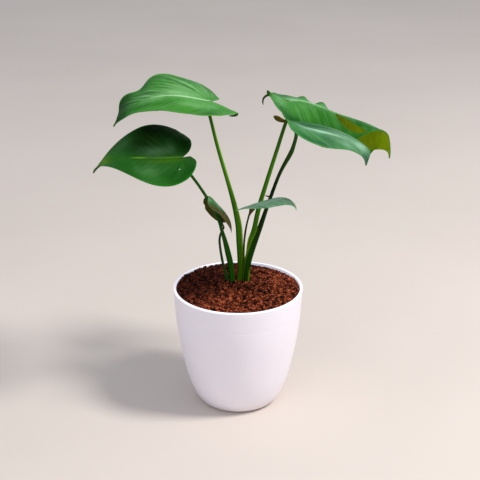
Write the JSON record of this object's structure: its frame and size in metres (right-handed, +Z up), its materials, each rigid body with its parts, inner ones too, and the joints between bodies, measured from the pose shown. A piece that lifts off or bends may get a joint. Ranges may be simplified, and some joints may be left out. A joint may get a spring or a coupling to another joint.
{
  "type": "potted swiss cheese plant",
  "caption": "Young swiss cheese plant with arched heart-shaped leaves on slender stalks, one split by a long hole, rooted in the soil of a round white plastic pot.",
  "frame": {"origin": "at the middle of the pot's underside, on the floor, in the plane of its foot ring and centre pad", "axes": "+Z up; the picture looks along +Y and down, so +X is to its right; the longest leaves reach to -X and +X"},
  "size_m": [0.2887, 0.1507, 0.3272],
  "materials": {
    "white_plastic": "smooth satin white plastic",
    "soil": "moist crumbled coir",
    "root": "matt root bark",
    "stalk_green": "smooth stalk skin",
    "stalk_light": "smooth stalk skin",
    "stalk_dark": "smooth stalk skin",
    "leaf_bright": "waxy leaf, slightly glossy",
    "leaf_dark": "waxy leaf, slightly glossy",
    "leaf_blue_green": "waxy leaf with a pale sheen",
    "leaf_old": "dull leaf, olive underneath"
  },
  "bodies": {
    "root": {"pot": "white_plastic", "soil": "soil", "crown_right": "root", "crown_left": "root", "stalk_a": "stalk_green", "stalk_b": "stalk_light", "stalk_c": "stalk_dark", "stalk_d": "stalk_dark", "stalk_e": "stalk_dark", "stalk_f": "stalk_dark", "leaf_1": "leaf_bright", "leaf_2": "leaf_dark", "leaf_3": "leaf_bright", "leaf_4": "leaf_blue_green", "leaf_5": "leaf_old", "leaf_6": "leaf_blue_green"}
  },
  "joints": []
}
